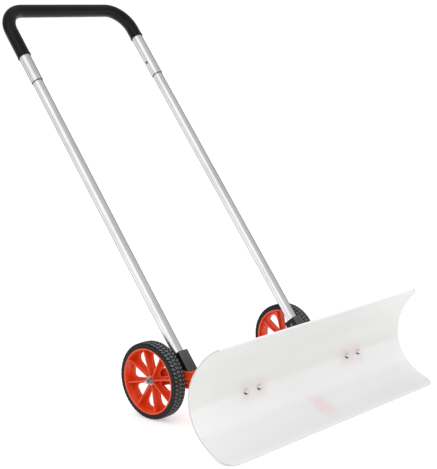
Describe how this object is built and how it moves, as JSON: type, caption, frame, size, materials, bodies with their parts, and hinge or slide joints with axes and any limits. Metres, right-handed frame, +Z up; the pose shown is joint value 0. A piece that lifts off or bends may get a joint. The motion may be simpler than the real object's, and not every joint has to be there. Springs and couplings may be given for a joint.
{
  "type": "wheeled snow pusher",
  "caption": "Wheeled snow pusher: wide curved translucent plastic blade held low in front of spoked wheels, pushed by an upright U-shaped tube handle that lifts off its legs.",
  "frame": {"origin": "middle of the blade's flat lower edge, on the ground", "axes": "+Z up, -Y forward (the way the blade faces), X along the blade; left is the -X side, as seen from the front"},
  "size_m": [0.74, 0.8774, 0.9297],
  "materials": {
    "blade_plastic": "milky, translucent, satin",
    "orange_plastic": "moulded, semi-gloss",
    "black_plastic": "fine moulded texture",
    "tyre_rubber": "moulded tread, satin",
    "grip_foam": "smooth closed-cell foam",
    "aluminium_tube": "satin, drawn",
    "zinc_steel": "zinc plated",
    "chrome": "bright",
    "button_steel": "dark, smooth",
    "spring_steel": "blued strip"
  },
  "bodies": {
    "chassis": {"blade": "blade_plastic", "blade_bolts": "chrome", "blade_washers": "zinc_steel", "blade_nuts": "zinc_steel", "arm_left": "orange_plastic", "arm_right": "orange_plastic", "leg_socket_left": "black_plastic", "leg_socket_right": "black_plastic", "socket_pins": "zinc_steel", "socket_screws": "zinc_steel", "leg_tube_left": "aluminium_tube", "leg_tube_right": "aluminium_tube", "snap_spring_left": "spring_steel", "snap_spring_right": "spring_steel", "axle_bolts": "zinc_steel", "axle_sleeve_left": "zinc_steel", "axle_sleeve_right": "zinc_steel", "inner_washers": "zinc_steel", "outer_washers": "zinc_steel", "axle_nuts": "zinc_steel", "cross_tube": "zinc_steel", "centre_brace": "orange_plastic", "brace_cap": "orange_plastic", "brace_screws": "zinc_steel"},
    "wheel_left": {"wheel_rim_left": "orange_plastic", "tyre_left": "tyre_rubber"},
    "wheel_right": {"wheel_rim_right": "orange_plastic", "tyre_right": "tyre_rubber"},
    "handle": {"handle_tube": "aluminium_tube", "handle_grip": "grip_foam"},
    "button_left": {"snap_button_left": "button_steel"},
    "button_right": {"snap_button_right": "button_steel"}
  },
  "joints": [
    {"name": "wheel_left_spin", "type": "hinge", "parent": "chassis", "child": "wheel_left", "pos_m": [-0.23325, 0.3475, 0.0875], "axis": [1, 0, 0], "continuous": true},
    {"name": "wheel_right_spin", "type": "hinge", "parent": "chassis", "child": "wheel_right", "pos_m": [0.23325, 0.3475, 0.0875], "axis": [1, 0, 0], "continuous": true},
    {"name": "handle_lift", "type": "slide", "parent": "chassis", "child": "handle", "axis": [0, 0.5906, 0.807], "range_m": [0, 0.27]},
    {"name": "button_left_press", "type": "slide", "parent": "chassis", "child": "button_left", "axis": [-1, 0, 0], "range_m": [0, 0.004], "deforming": ["snap_spring_left"]},
    {"name": "button_right_press", "type": "slide", "parent": "chassis", "child": "button_right", "axis": [1, 0, 0], "range_m": [0, 0.004], "deforming": ["snap_spring_right"]}
  ]
}
